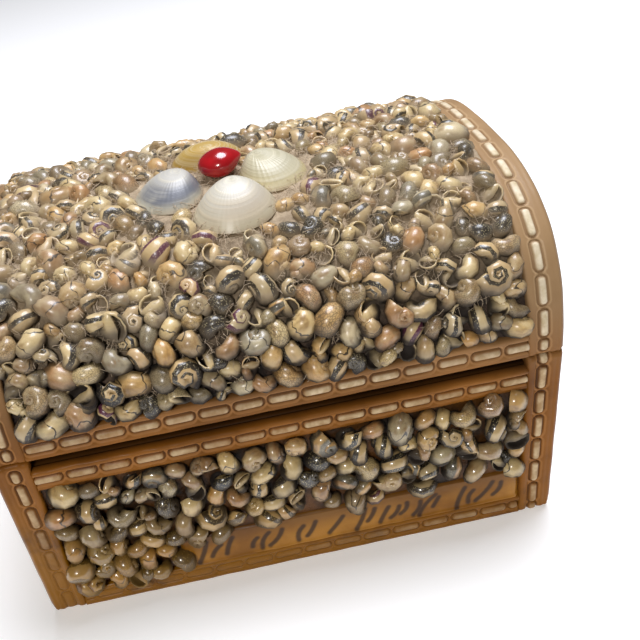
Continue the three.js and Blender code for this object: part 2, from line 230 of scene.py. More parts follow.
def vaultTable():
    rows, power, steps = [], 2 / box["exponent"], 720
    for i in range(steps + 1):
        turn = math.pi * i / steps
        across = math.copysign(abs(math.cos(turn)) ** power, math.cos(turn))
        place = Vector((-box["halfDepth"] * across, box["spring"] + box["rise"] * math.sin(turn) ** power))
        if place.y < box["seam"]:
            continue
        arc = rows[-1][1] + (place - rows[-1][0]).length if rows else 0.0
        rows.append((place, arc))
    return rows


vaultRows = vaultTable()
vaultArc = vaultRows[-1][1]


def vaultAt(arc):  # (y, z) place and outward normal at a distance along the vault
    wanted, last = min(max(arc, 0.0), vaultArc), len(vaultRows) - 1
    high = min(bisect.bisect(vaultRows, wanted, key=lambda row: row[1]), last)
    (a, arcA), (b, arcB) = vaultRows[high - 1], vaultRows[high]
    spread = 6  # rows to either side that smooth the normal
    before = vaultRows[max(high - 1 - spread, 0)][0]
    after = vaultRows[min(high + spread, last)][0]
    along = (after - before).normalized()
    return a.lerp(b, (wanted - arcA) / (arcB - arcA)), Vector((-along.y, along.x))


def onVault(x, arc, height):
    place, normal = vaultAt(arc)
    place = place + normal * height
    return Vector((x, place.x, place.y))


def standing(across, outward):  # turns z outwards
    return Matrix((across, outward.cross(across), outward)).transposed().to_4x4()


moulding = {
    "pitch": 6.8,
    "padHalfLength": 2.9,
    "padHalfWidth": 0.92,
    "padRadius": 0.8,
    "padProud": 0.5,
    "moatDepth": 0.42,
    "moatWidth": 0.26,
    "skirt": 1.7,
    "grain": 0.36,  # size of the strips' faces
    "waviness": 0.12,
    "softened": 0.75,  # how far thick lacquer fills the stitches
    "farAway": 9.0,  # where no stitch is near
}


def padRow(places, halfLength=None):
    return [(place, halfLength or moulding["padHalfLength"]) for place in places]


def evenPads(count, shift):
    return padRow([(i - (count - 1) / 2) * moulding["pitch"] + shift for i in range(count)])


def stitchRelief(s, t, pads, column):  # height there, and how far outside a pad's outline it is
    nearest = min(pads, key=lambda pad: abs(s - pad[0]) - pad[1])
    radius = moulding["padRadius"]
    du = max(abs(s - nearest[0]) - nearest[1] + radius, 0.0)
    dt = max(abs(t - column) - moulding["padHalfWidth"] + radius, 0.0)
    outside = math.hypot(du, dt) - radius
    pad = 1 - ease(outside, -0.5, 0.1)
    moat = ease(outside, -0.15, 0.1) * (1 - ease(outside, 0.12, 0.25 + moulding["moatWidth"]))
    return pad * moulding["padProud"] - moat * moulding["moatDepth"], outside


def bead(t, middle, half, height):
    share = min(abs(t - middle) / half, 1.0)
    return height * math.sqrt(1 - share * share)


def soaked(face, x, z):  # how much thick lacquer has run over a place on the front
    return 1 - ease(z + 0.3 * x + 4 * wobble(x, 0, z, 9.0), 0.0, 20.0) if face < 0 else 0.0


def railRelief(pads, width, crest=0.3, soak=lambda s, t: 0.0):
    half = 0.64  # of the bead along each edge

    def relief(s, t):
        height, outside = stitchRelief(s, t, pads, width / 2)
        height *= 1 - moulding["softened"] * soak(s, t)
        wave = wobble(s, t, width, 5.0) * moulding["waviness"]
        lip = bead(t, half, half, 0.3)
        lip += bead(t, width - half, half, crest) * (1 + 0.5 * wobble(s, 0, width, 3.5))
        return height + lip + wave, outside
    return relief


def postRelief(pads, width, length, crisp=1.0, soak=lambda s, t: 0.0):
    column = 4.2  # from the post's outer edge to the middle of its stitches

    def relief(s, t):
        height, outside = stitchRelief(s, t, pads, column)
        height *= 1 - moulding["softened"] * soak(s, t)
        ridges = bead(t, 0.75, 0.75, 0.3) + bead(t, 2.1, 0.6, 0.28) + bead(t, width - 0.85, 0.85, 0.4)
        height, ridges = height * (0.5 + 0.5 * crisp), ridges * crisp
        edge = 0.55 * (1 - ease(t, 0.0, 0.9)) + 0.5 * (1 - ease(min(s, length - s), 0.0, 0.7))
        wave = wobble(s, t, -width, 6.0) * moulding["waviness"]
        return height + ridges - edge + wave, outside
    return relief


def addStrip(bm, length, width, place, relief, sideShade=0.0):
    stitch, hidden = [bm.verts.layers.float[name] for name in ("stitch", "hidden")]
    columns = max(round(length / moulding["grain"]), 4) + 2
    rows = max(round(width / moulding["grain"]), 4) + 2
    for vert in gridVerts(bm, columns, rows):
        i, j = round((vert.co.x + 0.5) * columns), round((vert.co.y + 0.5) * rows)
        s = min(max((i - 1) / (columns - 2), 0.0), 1.0) * length
        t = min(max((j - 1) / (rows - 2), 0.0), 1.0) * width
        height, vert[stitch] = relief(s, t)
        if i in (0, columns) or j in (0, rows):  # the outermost row of faces is the strip's side, painted in shade
            height, vert[hidden] = -moulding["skirt"], max(sideShade, 0.4)
        vert.co = place(s, t, height)


# plain verts: no stitch near, and a given amount of painted shade
def markPlain(bm, verts, hidden=0.0):
    for vert in verts:
        vert[bm.verts.layers.float["hidden"]] = hidden
        vert[bm.verts.layers.float["stitch"]] = moulding["farAway"]


# a block, painted in shade where asked
def addBlock(bm, low, high, bevel=0.0, hidden=0.0):
    made = bmesh.ops.create_cube(bm, size=1.0)["verts"]
    markPlain(bm, made, hidden)
    low, high = Vector(low), Vector(high)
    stretch = Matrix.Diagonal((*(high - low), 1))
    bmesh.ops.transform(bm, matrix=Matrix.Translation((low + high) / 2) @ stretch, verts=made)
    if bevel:
        edges = {edge for vert in made for edge in vert.link_edges}
        bmesh.ops.bevel(bm, geom=list(edges), offset=bevel, segments=2, profile=0.5,
                        affect="EDGES", material=-1)
    return made


def footCorner(t, s):  # a square corner's plan drawn in to the rounded foot
    radius = box["footRadius"]
    away = Vector((radius - t, radius - s))
    if min(away) <= 0 or away.length <= radius:
        return t, s
    away = away.normalized() * radius
    return radius - away.x, radius - away.y


baseShape = {
    "floor": 2.4,
    "inset": 1.2,  # of the inner body behind the mouldings
    "hiddenEdge": 1.2,  # the top of the panel walls, under the lid's rails
    "rightPad": 39.5,  # height of the topmost whole pad on each post
    "leftPad": 36.9,
    "postPads": 6,
    "topPad": (5.2, 1.5),  # a short pad above the topmost whole one, its half length
    "bottomPad": (2.2, 1.3),
    "footPads": 14,
    "footEndPads": (4.6, 1.1),
    "endPanel": ((5.6, 0.0), (0.5, -0.55), (0.6, 0.0), (0.5, 0.4)),  # steps inwards and their depths
}


def sinkPanel(bm, verts, side):  # a plain frame round a sunk panel on the outer face of an end wall
    faces = {face for vert in verts for face in vert.link_faces}
    outer = max(faces, key=lambda face: side * face.calc_center_median().x)
    for thickness, depth in baseShape["endPanel"]:
        bmesh.ops.inset_region(bm, faces=[outer], thickness=thickness, depth=depth, use_even_offset=False)


def addPostStrip(bm, length, side, place, relief):  # t runs inwards; the left one is turned to face out
    width = box["post"]
    if side > 0:
        addStrip(bm, length, width, place, relief)
    else:
        addStrip(bm, length, width, lambda s, t, h: place(s, width - t, h),
                 lambda s, t: relief(s, width - t))


def addBasePost(bm, face, side, onFace, inner, top):
    length, pitch = box["halfLength"], moulding["pitch"]
    x0, x1 = sorted((side * (panelEnd + 0.2), side * (length - 0.4)))
    y0, y1 = sorted((face * inner, face * (box["halfDepth"] - 1.0)))
    addBlock(bm, (x0, y0, 0.8), (x1, y1, top), 0.1)
    first, count = baseShape["rightPad" if side > 0 else "leftPad"], baseShape["postPads"]
    pads = padRow([first - i * pitch for i in range(count)])
    for below, (shift, half) in ((count, baseShape["bottomPad"]), (0, baseShape["topPad"])):
        pads += padRow([first - below * pitch + shift], half)

    def place(s, t, height):
        t, s = footCorner(t, s)
        return onFace(side * (length - t), s, height)

    addPostStrip(bm, top, side, place, postRelief(
        pads, box["post"], top, 1.0, lambda s, t: soaked(face, side * (length - t), s)))


def addBaseRail(bm, face, onFace, count, bottom, width, crest, sideShade):
    pads = evenPads(count, panelEnd)
    if bottom == 0:
        shift, half = baseShape["footEndPads"]
        pads += padRow([pads[0][0] - shift, pads[-1][0] + shift], half)
    relief = railRelief(pads, width, crest, lambda s, t: soaked(face, s - panelEnd, bottom + t))
    addStrip(bm, 2 * panelEnd, width, lambda s, t, h: onFace(s - panelEnd, bottom + t, h), relief, sideShade)


def makeBase():
    bm = bmesh.new()
    newLayers(bm, "stitch", "hidden")
    length, depth, inset = box["halfLength"], box["halfDepth"], baseShape["inset"]
    top = box["seam"] - box["seamGap"]
    inner = panelFace - box["wall"]
    addBlock(bm, (-length + 1, -depth + inset, 0), (length - 1, depth - inset, baseShape["floor"]), 0.3)
    for side in (-1, 1):
        x0, x1 = sorted((side * (length - box["endWall"]), side * (length - 0.25)))
        sinkPanel(bm, addBlock(bm, (x0, -depth + inset, 0.9), (x1, depth - inset, top)), side)
    for face in (-1, 1):
        y0, y1 = sorted((face * inner, face * panelFace))
        edge = railTop - baseShape["hiddenEdge"]
        addBlock(bm, (-panelEnd - 2, y0, 0.4), (panelEnd + 2, y1, edge))
        # the top band of the panel walls shows in the finger gap and is painted in shade
        addBlock(bm, (-panelEnd - 2, y0, edge), (panelEnd + 2, y1, railTop), hidden=1.0)

        def onFace(x, z, height):
            return Vector((-face * x, face * (depth + height), z))

        for side in (-1, 1):
            addBasePost(bm, face, side, onFace, inner, top)
        addBaseRail(bm, face, onFace, box["railPads"], panelTop, box["rail"], 0.5, 1.0)
        addBaseRail(bm, face, onFace, baseShape["footPads"], 0.0, box["footRail"], 0.3, 0.0)
    return bm


lidShape = {
    "steps": 72,  # round the vault
    "endPanel": ((5.4, 0.0), (5.9, 0.5), (6.5, 0.5), (7.1, 0.1)),  # insets from the arch and their depths
    "firstPad": 7.3,
    "cornerPad": (2.4, 1.3),
    "endBandCrispness": 0.6,
    "lipDepth": 5.0,
    "lipWall": 1.4,
    "lipGap": 0.3,
}


def addArchWall(bm, side):  # the lid's end: an arched frame round a sunk panel
    outside, steps = box["halfLength"] - 0.25, lidShape["steps"]

    def arch(inset, x):
        reach = vaultArc - 2 * inset
        return [onVault(side * x, inset + reach * i / steps, -1.2 - inset) for i in range(steps + 1)]

    rim = [bm.verts.new(place) for place in arch(0, outside)]
    markPlain(bm, rim)
    edges = loop = [bm.edges.new((rim[i - 1], rim[i])) for i in range(steps + 1)]
    first = len(bm.faces)
    for inset, sunk in lidShape["endPanel"]:
        edges = growRing(bm, edges, arch(inset, outside - sunk))[1]
    bmesh.ops.contextual_create(bm, geom=edges)
    edges = growRing(bm, loop, arch(0, box["halfLength"] - box["endWall"]))[1]
    bmesh.ops.contextual_create(bm, geom=edges)
    bm.faces.ensure_lookup_table()
    bmesh.ops.recalc_face_normals(bm, faces=bm.faces[first:])


def addVaultSkin(bm):
    length, steps = box["halfLength"] - 0.6, lidShape["steps"]
    verts = [bm.verts.new(onVault(-length, vaultArc * i / steps, -box["recess"])) for i in range(steps + 1)]
    markPlain(bm, verts)
    edges = [bm.edges.new(pair) for pair in zip(verts, verts[1:])]
    swept = bmesh.ops.extrude_edge_only(bm, edges=edges)["geom"]
    bmesh.ops.translate(bm, vec=(2 * length, 0, 0), verts=onlyVerts(swept))
    skin = [item for item in swept if isinstance(item, bmesh.types.BMFace)]
    bmesh.ops.recalc_face_normals(bm, faces=skin)
    bmesh.ops.solidify(bm, geom=skin, thickness=box["wall"])


def addLip(bm):  # sits inside the base, painted in shade all over
    wall, gap = lidShape["lipWall"], lidShape["lipGap"]
    lipX = box["halfLength"] - box["endWall"] - gap
    lipY = panelFace - box["wall"] - gap
    low, high = box["seam"] - lidShape["lipDepth"], box["seam"] + box["seamGap"] + wall
    for side in (-1, 1):
        x0, x1 = sorted((side * (lipX - wall), side * lipX))
        addBlock(bm, (x0, -lipY, low), (x1, lipY, high), 0.2, 1.0)
        y0, y1 = sorted((side * (lipY - wall), side * lipY))
        addBlock(bm, (-lipX, y0, low), (lipX, y1, high), 0.2, 1.0)


def makeLid():
    bm = bmesh.new()
    newLayers(bm, "stitch", "hidden")
    addVaultSkin(bm)
    for side in (-1, 1):
        addArchWall(bm, side)
    bmesh.ops.remove_doubles(bm, verts=bm.verts, dist=0.001)
    places = [lidShape["firstPad"] + i * moulding["pitch"] for i in range(20)]
    corner, half = lidShape["cornerPad"]
    pads = padRow([place for place in places if place < vaultArc - 3]) + padRow([corner], half)
    for side in (-1, 1):
        addPostStrip(bm, vaultArc, side, lambda s, t, h: onVault(side * (box["halfLength"] - t), s, h),
                     postRelief(pads, box["post"], vaultArc, lidShape["endBandCrispness"]))
    for face in (-1, 1):
        def place(s, t, height):
            arc = t + box["seamGap"]
            return onVault(-face * (s - panelEnd), arc if face < 0 else vaultArc - arc, height)

        pads = evenPads(box["railPads"], panelEnd + 0.8)
        addStrip(bm, 2 * panelEnd, box["rail"], place, railRelief(pads, box["rail"]))
    addLip(bm)
    return bm


plasticLook = {
    "caramel": ("6e420e", "8c5719"),
    "amber": ("8a5a04", "5c3a04"),  # at the foot, under thick lacquer
    "stain": "472408",
    "bleached": ("8a6c4a", "9c7e5a"),  # on the lid
    "stitches": ("a08058", "ccb48e"),
    "bleachedStitches": ("c4b490", "e8dcc2"),
    # lighter rims round the pads: their colour plus a painted sheen
    "rimsAndSheen": ("b07a44", "b89a74"),
    # painted shade in the groove round each pad
    "moatShade": "3a1e08",
    # the dark of the painted shade on inner faces, in the finger gap and on the strips' sides
    "hidden": "1c0f06",
}


def plasticMaterial():
    paint, look = Paint("caramelPlastic"), plasticLook
    outside = paint.attribute("stitch") + 0.14 * paint.noise(500.0, 3.0) - 0.07
    pad = 1 - paint.ease(outside, -0.5, 0.02)
    moat = paint.ease(outside, -0.2, 0.1) * (1 - paint.ease(outside, 0.12, 0.45))
    rim = paint.ease(outside, 0.25, 0.45) * (1 - paint.ease(outside, 0.55, 0.9))
    patches = paint.noise(45.0, 4.0)
    patchy = paint.ease(patches, 0.3, 0.7)
    fine = paint.noise(420.0, 4.0, 0.6)
    height, across = paint.axis("Z"), paint.axis("X")
    amber = 1 - paint.ease(height + 0.014 * patches + 0.25 * across, 0.004, 0.036)
    pale = paint.ease(height + 0.08 * across, 0.041, 0.066)
    base = paint.mix(patchy, *look["caramel"])
    stains = paint.ease(paint.noise(70.0, 5.0, 0.65), 0.5, 0.75)
    base = paint.mix(amber * 0.9, base, paint.mix(stains, *look["amber"]))
    base = paint.mix(stains * 0.45, base, look["stain"])
    base = paint.mix(pale, base, paint.mix(patchy, *look["bleached"]))
    worn = paint.mix(paint.ease(fine, 0.3, 0.75), *look["stitches"])
    worn = paint.mix(pale, worn, paint.mix(paint.ease(fine, 0.3, 0.7), *look["bleachedStitches"]))
    wear = 0.6 + 0.5 * paint.ease(paint.noise(28.0, 3.0), 0.35, 0.6)
    base = paint.mix(pad * (0.9 - 0.85 * amber) * wear, base, worn)
    # lighter rims round the pads, partly a painted sheen
    base = paint.mix(rim * (0.5 - 0.42 * amber), base, paint.mix(pale, *look["rimsAndSheen"]))
    # the groove round each pad painted dark as shade
    base = paint.mix(moat * (0.72 - 0.5 * pale - 0.6 * amber), base, look["moatShade"])
    # painted shade on inner faces, in the finger gap and on the strips' sides
    base = paint.mix(paint.attribute("hidden") * 0.8, base, look["hidden"])
    grit = paint.bump(fine * 0.3 + rim * 0.6 - moat * 0.8 + patches * 0.3, 0.0003, 0.5)
    return paint.finish(Base_Color=base, Roughness=0.5 - 0.22 * amber + 0.1 * patches, Normal=grit,
                        Specular_IOR_Level=0.16, Coat_Weight=0.05 + 0.1 * amber, Coat_Roughness=0.15)


plastic = plasticMaterial()
for nodeName, make in (("chest_base", makeBase), ("vaulted_lid", makeLid)):
    piece = makePiece(nodeName + "_moulding", make(), plastic)
    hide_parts(nodeName)
print("moulded plastic")


# a turn's growth, the spire's stand-off, the mouth's half width and height, its slant and inner shelf
shellShapes = [dict(zip(("growth", "drop", "wide", "tall", "slant", "shelf"), row)) for row in (
    (2.5, 0.34, 0.6, 0.66, 0.3, 0.3),
    (2.1, 0.46, 0.58, 0.6, 0.2, 0.15),
    (3.0, 0.22, 0.62, 0.72, 0.35, 0.4),
    (2.3, 0.38, 0.62, 0.6, 0.3, 0.35),
    (2.8, 0.28, 0.58, 0.76, 0.25, 0.1),
    (2.0, 0.62, 0.54, 0.58, 0.2, -0.2),
    (2.5, 0.34, 0.6, 0.64, 0.1, -0.7),
    (1.9, 0.8, 0.48, 0.56, 0.15, -0.6),
)]
shellGrowth = {
    "ring": (-165, -125, -90, -60, -30, 0, 30, 60, 95, 140),
    "steps": (40,) * 6 + (66,) * 5,
    "bulge": 0.16,
    # rings of the mouth: size, how far the inner side closes, step back along the spiral, and share of
    # painted shade
    "mouth": ((0.92, 0.45, -2, 0.0), (0.83, 1.0, 0, 0.15), (0.77, 1.0, 10, 0.8), (0.6, 0.9, 40, 1.0)),
}
shellLayers = ("turn", "across", "lip", "cave")


def growShell(shape):
    bm = bmesh.new()
    turn, across, lip, cave = newLayers(bm, *shellLayers)
    middle = Vector((shape["wide"] * 0.84, 0, -shape["drop"] - shape["tall"] * 0.6))
    angles = [math.radians(angle) for angle in shellGrowth["ring"]]
    ring = []
    for a in angles:
        high = shape["tall"] * math.sin(a)
        vert = bm.verts.new(middle + Vector((shape["wide"] * math.cos(a), -shape["slant"] * high, high)))
        vert[across] = a / (2 * math.pi) + 0.5
        ring.append(vert)
    mouth = linkRing(bm, ring)

    def turned(angle):  # a step back along the spiral, smaller with each turn
        shrink = Matrix.Scale(shape["growth"] ** (-angle / 360), 4)
        return Matrix.Rotation(math.radians(angle), 4, "Z") @ shrink

    edges, grown = mouth, 0
    for angle in shellGrowth["steps"]:
        verts, edges = growRing(bm, edges)
        grown += angle
        bmesh.ops.transform(bm, matrix=turned(angle), verts=verts)
        for vert in verts:
            vert[turn] = -grown / 360
    tip = sum((vert.co for vert in verts), Vector()) / len(verts)
    verts, edges = growRing(bm, edges)
    bmesh.ops.scale(bm, vec=(0.5, 0.5, 0.5), space=Matrix.Translation(-tip * 0.9), verts=verts)
    bmesh.ops.contextual_create(bm, geom=edges)
    # a thin lip, a swollen shelf on the inner side of the mouth, then a cap painted dark as the shade inside
    edges = mouth
    for size, closed, angle, dark in shellGrowth["mouth"]:
        verts, edges = growRing(bm, edges)
        for vert, a in zip(verts, [(v[across] - 0.5) * 2 * math.pi for v in verts]):
            inner = max(0.0, -math.cos(a) + 0.25) / 1.25
            wide = shape["wide"] * size * math.cos(a)
            wide += (shape["shelf"] * shape["wide"] - wide) * closed * inner ** 0.7
            high = shape["tall"] * size * math.sin(a)
            swell = shellGrowth["bulge"] * inner * (1 - dark) * (shape["shelf"] > -0.5)
            vert.co = turned(angle) @ (middle + Vector((wide, -swell - shape["slant"] * high, high)))
            vert[lip], vert[cave] = 1.0 - dark, dark
    bmesh.ops.contextual_create(bm, geom=edges)
    bmesh.ops.recalc_face_normals(bm, faces=bm.faces)
    low = Vector([min(v.co[i] for v in bm.verts) for i in range(3)])
    high = Vector([max(v.co[i] for v in bm.verts) for i in range(3)])
    toUnit = Matrix.Scale(6 / sum(high - low), 4) @ Matrix.Translation(-(low + high) / 2)
    bmesh.ops.transform(bm, matrix=toUnit, verts=bm.verts)
    mesh = bpy.data.meshes.new("snailShell")
    bm.to_mesh(mesh)
    bm.free()
    return mesh


shellMeshes = [growShell(shape) for shape in shellShapes]
print("snail shells grown, faces each:", [len(mesh.polygons) for mesh in shellMeshes])


def pushApart(spots, closeness):
    cells, cell = {}, 8
    for spot in spots:
        cells.setdefault((int(spot[0] // cell), int(spot[1] // cell)), []).append(spot)
    for (cu, cv), members in list(cells.items()):
        near = [s for du in (-1, 0, 1) for dv in (-1, 0, 1) for s in cells.get((cu + du, cv + dv), [])]
        for a in members:
            for b in near:
                if a is b:
                    continue
                du, dv = b[0] - a[0], b[1] - a[1]
                apart = math.hypot(du, dv) or 0.01
                overlap = (a[2] + b[2]) * closeness - apart
                if overlap > 0:
                    push = overlap * 0.25 / apart
                    a[0] -= du * push
                    a[1] -= dv * push
                    b[0] += du * push
                    b[1] += dv * push


def scatter(width, height, seed, settings, isFree, sizeAt=lambda u, v: 1.0):
    rng = random.Random(seed)
    pitch, jitter = settings["pitch"], 0.35
    rows = round(height / (pitch * 0.866))
    columns = round(width / pitch)
    spots = []  # places and sizes
    for row in range(rows):
        for column in range(columns + row % 2):
            u = (column + (0.0 if row % 2 else 0.5)) * width / columns - width / 2
            v = (row + 0.5) * height / rows
            u += rng.uniform(-jitter, jitter) * pitch
            v += rng.uniform(-jitter, jitter) * pitch
            radius = rng.triangular(*settings["radius"]) * sizeAt(u, v)
            if isFree(u, v, radius):
                spots.append([u, v, radius])
    for _ in range(crusts["rounds"]):
        pushApart(spots, settings["closeness"])
        for spot in spots:
            inset = spot[2] * 0.72
            spot[0] = min(max(spot[0], -width / 2 + inset), width / 2 - inset)
            spot[1] = min(max(spot[1], inset), height - inset)
    return [spot for spot in spots if isFree(spot[0], spot[1], spot[2] * 0.8)]


crusts = {  # rounds of pushing apart, and beds of glue, higher round the flower and on the crown
    "rounds": 40,
    "bed": 0.6,
    "flowerBed": 1.6,
    "crownBed": 1.1,
    "bedGrain": 0.9,
}
lidShells = {  # in dust
    "seeds": (5, 51),
    "pitch": 4.6,
    "radius": (1.85, 3.7, 2.5),
    "closeness": 0.92,
    "stand": (0.3, 0.55),
    "backsUp": 0.62,
    "spiresUp": 0.12,
}
panelShells = {  # in lacquer
    "frontSeeds": (11, 52, 7),
    "backSeeds": (23, 53, 9),
    "pitch": 5.0,
    "radius": (1.8, 3.4, 2.5),
    "closeness": 0.98,
    "stand": (0.4, 0.7),
    "backsUp": 0.78,
    "spiresUp": 0.1,
}


def makeCrust(name, node, settings, spots, place, seed, material):
    rng = random.Random(seed)
    bm = bmesh.new()
    sunkLayer = newLayers(bm, *shellLayers, "sunk")[-1]
    tintLayer = bm.verts.layers.float_color.new("tint")
    for u, v, radius in spots:
        first = len(bm.verts)
        bm.from_mesh(rng.choices(shellMeshes, weights=(6, 6, 5, 6, 4, 2, 1, 1))[0])
        bm.verts.ensure_lookup_table()
        verts = bm.verts[first:]
        facing = rng.random()
        if facing < settings["backsUp"]:
            up = Vector((rng.uniform(-0.6, 0.6), rng.uniform(0.5, 1), rng.uniform(-0.8, 0.9)))
        elif facing < settings["backsUp"] + settings["spiresUp"]:
            up = Vector((rng.uniform(-0.5, 0.5), rng.uniform(-0.2, 0.4), 1))
        else:
            up = Vector((rng.uniform(-0.2, 0.6), -1, rng.uniform(-0.5, 0.7)))
        face = up.rotation_difference(Vector((0, 0, 1))).to_matrix().to_4x4()
        turn = Matrix.Rotation(rng.uniform(0, 2 * math.pi), 4, "Z")
        height = crusts["bed"] + radius * rng.uniform(*settings["stand"])
        origin = place(u, v, height)
        across = (place(u + 0.5, v, height) - place(u - 0.5, v, height)).normalized()
        outward = (place(u, v, height + 1) - origin).normalized()
        stand = Matrix.Translation(origin) @ standing(across, outward)
        bmesh.ops.transform(bm, matrix=stand @ turn @ face @ Matrix.Scale(radius, 4), verts=verts)
        tint = [rng.random() for _ in range(4)]
        # how low each point sits on its shell, counted partly straight down: it drives the painted shade on
        # the shells' undersides
        sinkWay = (outward + Vector((0, 0, 0.8))).normalized()
        for vert in verts:
            vert[tintLayer] = tint
            vert[sunkLayer] = (vert.co - origin).dot(sinkWay) / radius
    piece = makePiece(name, bm, material)
    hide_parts(node)
    print(name, len(spots), "shells,", sum(len(p.vertices) - 2 for p in piece.data.polygons), "triangles")


def makeBed(name, width, length, place, heightAt, material):
    bm = bmesh.new()
    for vert in gridVerts(bm, round(width / crusts["bedGrain"]), round(length / crusts["bedGrain"])):
        u, v = vert.co.x * width, (vert.co.y + 0.5) * length
        vert.co = place(u, v, heightAt(u, v))
    makePiece(name, bm, material)


shellGround = [(0.0, "d2be90"), (0.16, "dac088"), (0.3, "c69856"), (0.42, "8e8064"), (0.55, "cba872"),
               (0.68, "827862"), (0.8, "be8c58"), (0.92, "98907a"), (1.0, "dccca6")]
dustyLook = {
    "kinds": (0.14, 0.44, 0.62, 0.66, 0.69),  # where lined, netted, flecked, grey and banded shells begin
    "shade": (0.5, "dcd2c4"),
    "dustAndShade": ("1a100a", "a08f76"),  # dark glue and painted shade low down on each shell, pale dust on the crown
    "dustAndShadeReach": (0.36, 1.16),
    "dustAndShadeShare": 0.95,
    "gloss": 0.45,
    "coatRoughness": 0.2,
}
varnishedLook = {
    "kinds": (0.2, 0.42, 0.52, 0.63, 0.7),
    "varnish": (0.45, "d2bc80"),
    "glaze": (0.42, "f0cc70", "96701e"),  # lacquer that has run to the foot and yellowed
    # dark lacquer and painted shade low down on each shell
    "dustAndShade": ("180c03", "180c03"),
    "dustAndShadeReach": (0.42, 1.16),
    "dustAndShadeShare": 0.96,
    "gloss": 1.0,
    "coatRoughness": 0.08,
}


def shellPattern(paint, kinds, turn, across, ripple, along):
    tint, second, third = [paint.channel("tint", i) for i in range(3)]
    fourth = paint.attribute("tint", "Alpha")

    def kind(low, high):  # the share of shells that wear a pattern
        return paint.ease(second, low, low + 0.005) * (1 - paint.ease(second, high, high + 0.005))

    dark = "1c1612"
    ground = paint.node("ValToRGB", {"stops": shellGround}, {0: tint})
    ground = paint.mix(paint.ease(ripple, 0.4, 0.75) * 0.4, ground, "e2d4ac")
    ground = paint.mix((1 - paint.ease(ripple, 0.25, 0.5)) * 0.8, ground, "8c6c42")
    # a few black lines across the growth, wavy or in zigzag
    wave = paint.sine(across * (9.0 + 14.0 * third) + third * 9.0)
    lines = paint.zigzag(turn * (1.6 + 3.6 * fourth) + wave * (0.06 + 0.14 * third) + ripple * 0.5 + fourth)
    lineMask = 1 - paint.ease(lines, 0.02, 0.045)
    # fine net, open on pale shells and close on olive ones
    net = paint.node("TexVoronoi", {"feature": "DISTANCE_TO_EDGE"},
                     {"Vector": along, "Scale": 4.5 + 4.0 * fourth}, "Distance")
    netted = paint.mix(fourth * 0.7, ground, "7a7158")
    netted = paint.mix((1 - paint.ease(net, 0.02, 0.14)) * 0.6, netted, "3a3024")
    colour = paint.mix((1 - paint.ease(net, 0.02, 0.12)) * 0.22 * third, ground, "4a3a28")
    colour = paint.mix(lineMask * kind(kinds[0], kinds[1]) * 0.9, colour, dark)
    colour = paint.mix(kind(kinds[1], kinds[2]), colour, netted)
    # dark ones with pale flecks
    flecks = paint.node("TexVoronoi", None, {"Vector": along, "Scale": 6.5}, "Distance")
    fleckMask = 1 - paint.ease(flecks, 0.22, 0.36)
    speckled = paint.mix(fleckMask, paint.mix(third, "1d1a18", "40382c"), "b0a684")
    colour = paint.mix(kind(kinds[2], kinds[3]), colour, speckled)
    # bands round the turns: grey, or dark with pale flecks, or purple
    bands = paint.zigzag(across * (2.4 + 2.0 * fourth) + third + ripple * 0.2)
    grey = paint.mix(paint.ease(ripple + 0.3 * across, 0.4, 0.8), "46423a", "88826e")
    grey = paint.mix((1 - paint.ease(net, 0.02, 0.2)) * 0.5, grey, dark)
    grey = paint.mix(paint.ease(bands, 0.25, 0.4), grey, ground)
    colour = paint.mix(kind(kinds[3], kinds[4]), colour, grey)
    purple = paint.mix(fleckMask * 0.6, "5a2540", "b89c90")
    bandColour = paint.mix(paint.ease(second, 0.975, 0.98), speckled, purple)
    banded = paint.mix(paint.ease(bands, 0.16, 0.22), bandColour, paint.mix(0.5, ground, "d2bc90"))
    bandedShare = paint.ease(second, kinds[4], kinds[4] + 0.005) * (1 - kind(0.87, 0.93))
    return ground, paint.mix(bandedShare, colour, banded)


def shellMaterial(name, look):
    paint = Paint(name)
    turn, across, lip, cave = [paint.attribute(layer) for layer in shellLayers]
    along = paint.join(turn * 6.0, across * 6.0, paint.channel("tint", 2) * 40.0)
    ripple = paint.noise(1.0, 2.0, vector=along)
    ground, colour = shellPattern(paint, look["kinds"], turn, across, ripple, along)
    colour = paint.mix(lip, colour, paint.mix(0.7, ground, "d8c290"))
    # painted shade in the hollow of the mouth
    colour = paint.mix(cave * 0.9, colour, "4e3e2e")
    # dust and glue in the low places, and painted shade darkening each shell's lower side
    cloud, height = paint.noise(260.0, 3.0), paint.axis("Z")
    crown = paint.ease(height + 0.01 * cloud, 0.062, 0.082)
    depth = paint.attribute("sunk") + 0.6 * cloud + 0.2 * crown
    dustAndShade = (1 - paint.ease(depth, *look["dustAndShadeReach"])) * look["dustAndShadeShare"] + crown * 0.1
    if "shade" in look:
        colour = paint.mix(look["shade"][0], colour, look["shade"][1], "MULTIPLY")
    colour = paint.mix(dustAndShade, colour, paint.mix(crown, *look["dustAndShade"]))
    if "glaze" in look:
        colour = paint.mix(look["varnish"][0], colour, look["varnish"][1], "MULTIPLY")
        soak = (1 - paint.ease(height + 0.01 * cloud + 0.2 * paint.axis("X"), 0.006, 0.034)) * 0.85
        share, glaze, thick = look["glaze"]
        glazed = paint.mix(share, paint.mix(1.0, colour, glaze, "MULTIPLY"), thick)
        colour = paint.mix(soak, colour, glazed)
    surface = paint.bump(paint.zigzag(turn * 26.0) * 0.4 + ripple, 0.00012, 0.35)
    gloss = look["gloss"]
    return paint.finish(Base_Color=colour, Roughness=0.36 + 0.45 * dustAndShade, Normal=surface,
                        Coat_Weight=(gloss - 0.9 * gloss * dustAndShade) * (1 - cave),
                        Coat_Roughness=look["coatRoughness"])


